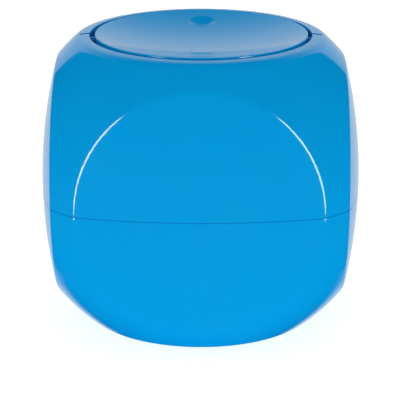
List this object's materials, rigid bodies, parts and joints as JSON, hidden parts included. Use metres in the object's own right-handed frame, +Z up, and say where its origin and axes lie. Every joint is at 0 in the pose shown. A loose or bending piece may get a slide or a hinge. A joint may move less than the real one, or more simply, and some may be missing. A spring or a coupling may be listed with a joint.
{
  "type": "covered sand tub",
  "caption": "Round-cornered cube of moulded plastic: a sand tub with a lift-off hood, and a dished round lid in the hood that tips on two side pins.",
  "frame": {"origin": "on the floor under the middle of the tub, at the bottom centre of the overall box", "axes": "+X to the right, +Y to the rear, where the lid's finger dimple is, +Z up"},
  "size_m": [0.4798, 0.4798, 0.4379],
  "materials": {
    "shell_plastic": "glossy moulded polypropylene, mid blue",
    "lid_plastic": "glossy moulded polypropylene, mid blue",
    "pin_plastic": "satin acetal, blue",
    "seal_rubber": "soft matt blue elastomer",
    "foot_rubber": "matt dark grey rubber",
    "screw_steel": "zinc-plated steel"
  },
  "bodies": {
    "tub": {"base_tub": "shell_plastic", "tub_rim_seal": "seal_rubber", "foot_front_left": "foot_rubber", "foot_front_right": "foot_rubber", "foot_rear_left": "foot_rubber", "foot_rear_right": "foot_rubber"},
    "hood": {"hood_shell": "shell_plastic", "stop_pad_left": "foot_rubber", "stop_pad_right": "foot_rubber"},
    "lid": {"lid_top": "lid_plastic", "lid_under": "lid_plastic", "lid_screws": "screw_steel", "pivot_pin_left": "pin_plastic", "pivot_pin_right": "pin_plastic"}
  },
  "joints": [
    {"name": "hood_lift", "type": "slide", "parent": "tub", "child": "hood", "axis": [0, 0, 1], "range_m": [0, 0.3]},
    {"name": "lid_tilt", "type": "hinge", "parent": "hood", "child": "lid", "pos_m": [0.001, 0, 0.4265], "axis": [-1, 0, 0], "range_deg": [0, 80]}
  ]
}
